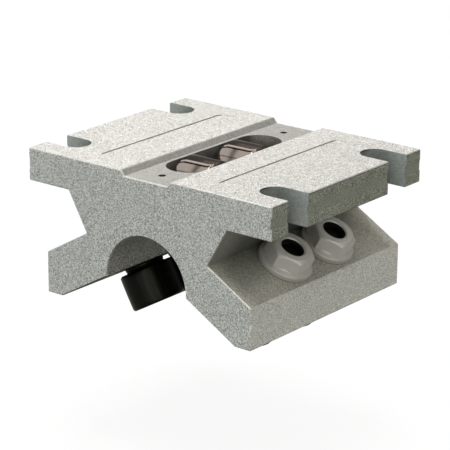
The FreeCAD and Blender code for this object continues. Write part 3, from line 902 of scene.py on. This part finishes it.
# %% Mark parts of those faces
parts = {
    "waist_floor": ("waist", {"height": (8.0, 6.0)}),
    "waist_middle": ("waist", {"far_y": (38.0, 24.0)}),
    "wing_front": ("wing", {"far_y": (34.0, 39.0)}),
    "wing_root": ("wing", {"far_x": (34.0, 22.0), "far_y": (38.0, 28.0)}),
    "top_right": ("top", {"at_x": (-10.0, 40.0)}),
    "window_deep": ("window", {"height": (35.5, 29.0)}),
    "window_wall": ("window", {"facing_x": (0.7, 0.95)}),
    "arch_edge": ("end", {"from_shaft": (17.11, 16.97)}),
    "channel_edge": ("channel", {"far_y": (40.15, 40.35)}),
    "channel_wall_edge": ("channel_wall", {"far_y": (40.15, 40.35)}),
    "slot_mouth": ("slot", {"far_x": (36.0, 50.0)}),
    "slot_low": ("slot", {"height": (35.0, 27.0)}),
    "slot_low_inner": ("slot_low", {"far_x": (47.0, 41.0)}),
}
for name, (whole, limits) in parts.items():
    faces[name] = faces[whole] * mask(**limits)
print("parts marked:", ", ".join(parts))

# %% [markdown]
# ## The block's metal
#
# The milled faces are covered with short bright flecks that run slantwise, under a finer
# speckle. The faces that run along the shaft keep fine lines from the extrusion. Noise
# gives all of these, stretched to the length and the width of the real marks. How
# strongly each mark shows is different on each face, so a strength is written as one
# number that holds everywhere and what single faces add to it.

# %% Grow the marks
FLECK_TURN = (0.0, math.radians(38), math.radians(38))
FLECK_GRAIN = (0.80, 0.26, 0.26)
BRIGHT_LIMITS = (0.49, 0.66)
DARK_LIMITS = (0.51, 0.34)
PATCH_GRAIN = (2.2, 1.3, 1.3)
SPECKLE_GRAIN = (0.24, 0.17, 0.17)
LINE_GRAIN = (0.20, 12.0, 0.20)
CLOUD_GRAIN = (9.0, 9.0, 9.0)
TINT_GRAIN = (1.9, 1.9, 1.9)
TINT_LIMITS = (0.40, 0.60)

flecks = bench.grains(place, FLECK_GRAIN, FLECK_TURN)
patches = bench.grains(place, PATCH_GRAIN, FLECK_TURN)
speckle = bench.grains(place, SPECKLE_GRAIN, detail=0.0)
lines = bench.grains(place, LINE_GRAIN, detail=3.0)
cloud = bench.grains(place, CLOUD_GRAIN, detail=3.0)
tints = bench.step(bench.grains(place, TINT_GRAIN), *TINT_LIMITS)
along_shaft = without(1.0 - faces["end"], faces["top"])


def strength(everywhere, **extras):
    """A strength that holds everywhere, and what single faces add to it."""
    total = everywhere
    for name, extra in extras.items():
        total = faces[name] * extra + total
    return total


print("marks grown")

# %% Colour the metal and paint shade on some faces
ALLOY_COLOUR = (0.66, 0.655, 0.62, 1.0)
ALLOY_DARK = (0.50, 0.50, 0.46, 1.0)
ALLOY_FLECK = (0.92, 0.92, 0.90, 1.0)
WARM_TINT = (0.70, 0.65, 0.60, 1.0)
# The ends get a cool tone. The rest is painted: the slots' dark teal is painted shade in those
# cuts, the brown of the wings' tops is painted shade under the flange, and the olive of the
# flange's side is a painted tone of the light on that face.
FACE_TONES_AND_PAINTED_SHADE = {
    "end": (0.35, (0.60, 0.66, 0.68, 1.0)),
    "slot": (0.85, (0.42, 0.46, 0.45, 1.0)),
    "side": (0.85, (0.66, 0.68, 0.57, 1.0)),
    "wing": (0.80, (0.66, 0.645, 0.55, 1.0)),
}

fleck_share = strength(0.30, end=0.30, slot=-0.15, top=-0.10)
warm_share = without(tints * strength(0.10, top=0.15), faces["end"])
colour = bench.blend(bench.step(flecks, *DARK_LIMITS) * fleck_share, ALLOY_COLOUR, ALLOY_DARK)
colour = bench.blend(bench.step(flecks, *BRIGHT_LIMITS) * fleck_share, colour, ALLOY_FLECK)
colour = bench.blend(warm_share, colour, WARM_TINT)
for name, (share, tone_and_painted_light) in FACE_TONES_AND_PAINTED_SHADE.items():
    colour = bench.blend(faces[name] * share, colour, tone_and_painted_light)
print("tinted faces:", ", ".join(FACE_TONES_AND_PAINTED_SHADE))

# %% [markdown]
# ## Light and dark places
#
# The photograph's light leaves some places much darker than a simple studio does: the
# waist, the top of the wings, the channel and the arch. Turning lamps until all of them
# fit would spoil the rest. So the finish itself is a little darker there, in steps that
# multiply each other. The edges of the arch and of the channel catch the light, and
# are lighter.

# %% Shade the metal
CLOUD_DEPTH = 0.12
LINE_DEPTH = 0.30
# Every step below is painted into the colour. Painted shade: the flange's side, the wings, the
# waist, the channel and its walls, the arch, the window, the small holes, the slots, the rim, the
# groove and the top towards the right. Painted light: the wings' front, the ends, the top and the
# wings' outer sides. Painted highlights: the edges of the arch and the channel, and the mouths of
# the slots.
SHADES = (
    {"side": -0.50, "wing": -0.38, "channel": -0.38},
    {"waist_floor": -0.60},
    {"waist": -0.50, "waist_middle": -0.24, "channel_wall": -0.45},
    {"wing_front": 0.30},
    {"wing_root": -0.45},
    {"top_right": -0.12},
    {"window": -0.55, "window_deep": -0.35},
    {"window_wall": -0.60},
    {"hole": -0.88},
    {"arch_edge": 0.50, "channel_edge": 0.70, "channel_wall_edge": 0.70},
    {"slot_mouth": 0.70, "slot": -0.455},
    {"slot_low": -0.05, "slot_low_inner": -0.35},
    {"end": 0.13, "wing_side": 0.18, "top": 0.18},
    {"arch": -0.38},
    {"rim": -0.62},
    {"groove": -0.33},
)

fleck_depth = strength(0.5, end=0.7, top=0.5, arch=2.2, side=1.2, wing_side=2.4, wing=-0.3)
patch_depth = strength(0.35, top=0.2, wing=-0.25)
speckle_depth = strength(1.6, end=1.1, arch=4.6, side=4.0, wing_side=3.0, wing=1.8, top=2.0)
shade = 1.0 + (cloud - 0.5) * CLOUD_DEPTH + (lines - 0.5) * LINE_DEPTH * along_shaft
shade = shade * (1.0 + (flecks - 0.5) * fleck_depth + (patches - 0.5) * patch_depth
                 + (speckle - 0.5) * speckle_depth)
for changes in SHADES:
    shade = shade * strength(1.0, **changes)
colour = bench.node("ShaderNodeVectorMath", {"operation": "SCALE"},
                    {"Vector": colour, "Scale": shade})
print("shading steps:", len(SHADES))

# %% Give the block its finish
MARK_DEPTH = 0.05
FLECK_HEIGHT = 0.7
LINE_HEIGHT = 0.5
ALLOY_ROUGHNESS = 0.50
ROUGHNESS_BY_FLECK = 0.25
ALLOY_METALLIC = 0.6

height = flecks * FLECK_HEIGHT + lines * LINE_HEIGHT * along_shaft
bump = bench.node("ShaderNodeBump", None,
                  {"Strength": 0.5, "Distance": MARK_DEPTH * MM, "Height": height})
metal_surface(bench, {
    "Base Color": colour,
    "Roughness": ALLOY_ROUGHNESS + (flecks - 0.5) * ROUGHNESS_BY_FLECK,
    "Normal": bump,
}, {"Metallic": ALLOY_METALLIC})
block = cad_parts["housing"]
block.data.materials.clear()
block.data.materials.append(alloy)
print("block finished")

# %% [markdown]
# ## Tapped holes
#
# A small tapped hole lies at each end of the channel, for the screws of a wiper. The
# CAD model has a plain bore. A fine thread wound against its wall shows in close
# views.

# %% Thread the small holes
SEAL_HOLE_RADIUS = 1.27
SEAL_THREAD_DEPTH = 0.17
SEAL_THREAD_PITCH = 0.5
SEAL_THREAD_START = 28.2
SEAL_THREAD_TURNS = 14
SEAL_THREAD_STEPS = 24

for end in ENDS:
    thread = wind_thread(f"hole_thread_{end}", SEAL_HOLE_RADIUS, SEAL_THREAD_DEPTH,
                         SEAL_THREAD_PITCH, SEAL_THREAD_START, SEAL_THREAD_TURNS,
                         steps=SEAL_THREAD_STEPS)
    thread.data.transform(Matrix.Translation((0, ENDS[end] * SEAL_HOLE_PLACE * MM, 0)))
    thread.data.materials.append(alloy)
    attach(thread, "block")
print("holes threaded")
